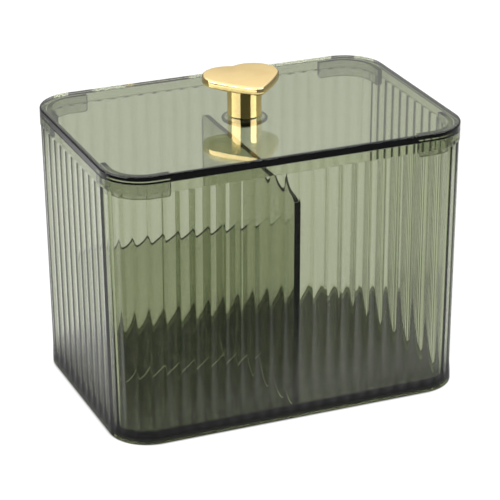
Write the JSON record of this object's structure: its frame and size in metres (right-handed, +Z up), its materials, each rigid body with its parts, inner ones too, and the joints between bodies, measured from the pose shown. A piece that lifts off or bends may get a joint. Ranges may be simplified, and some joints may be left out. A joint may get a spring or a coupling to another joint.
{
  "type": "cotton swab holder",
  "caption": "Rounded rectangular holder of clear tinted plastic with fluted walls, inner dividers and a loose lid with a heart-shaped metal knob.",
  "frame": {"origin": "middle of the foot rim, on the surface that the holder stands on", "axes": "+X along the length, towards the compartment that runs from front to back; +Z up; -Y is the front, where the heart's tip points"},
  "size_m": [0.141, 0.0966, 0.1211],
  "materials": {
    "tub_plastic": "glossy, transparent smoky grey-green",
    "divider_plastic": "glossy, transparent smoky grey-green",
    "lid_plastic": "glossy, transparent smoky grey-green",
    "gold_plate": "polished gold-coloured plating",
    "washer_plastic": "smooth, transparent",
    "screw_steel": "plated steel"
  },
  "bodies": {
    "holder": {"tub": "tub_plastic", "main_divider": "divider_plastic", "cross_divider": "divider_plastic"},
    "cover": {"lid": "lid_plastic", "knob_stem": "gold_plate", "knob_heart": "gold_plate", "knob_washer": "washer_plastic", "knob_screw": "screw_steel"}
  },
  "joints": [
    {"name": "lid_lift", "type": "slide", "parent": "holder", "child": "cover", "axis": [0, 0, 1], "range_m": [0, 0.1]}
  ]
}
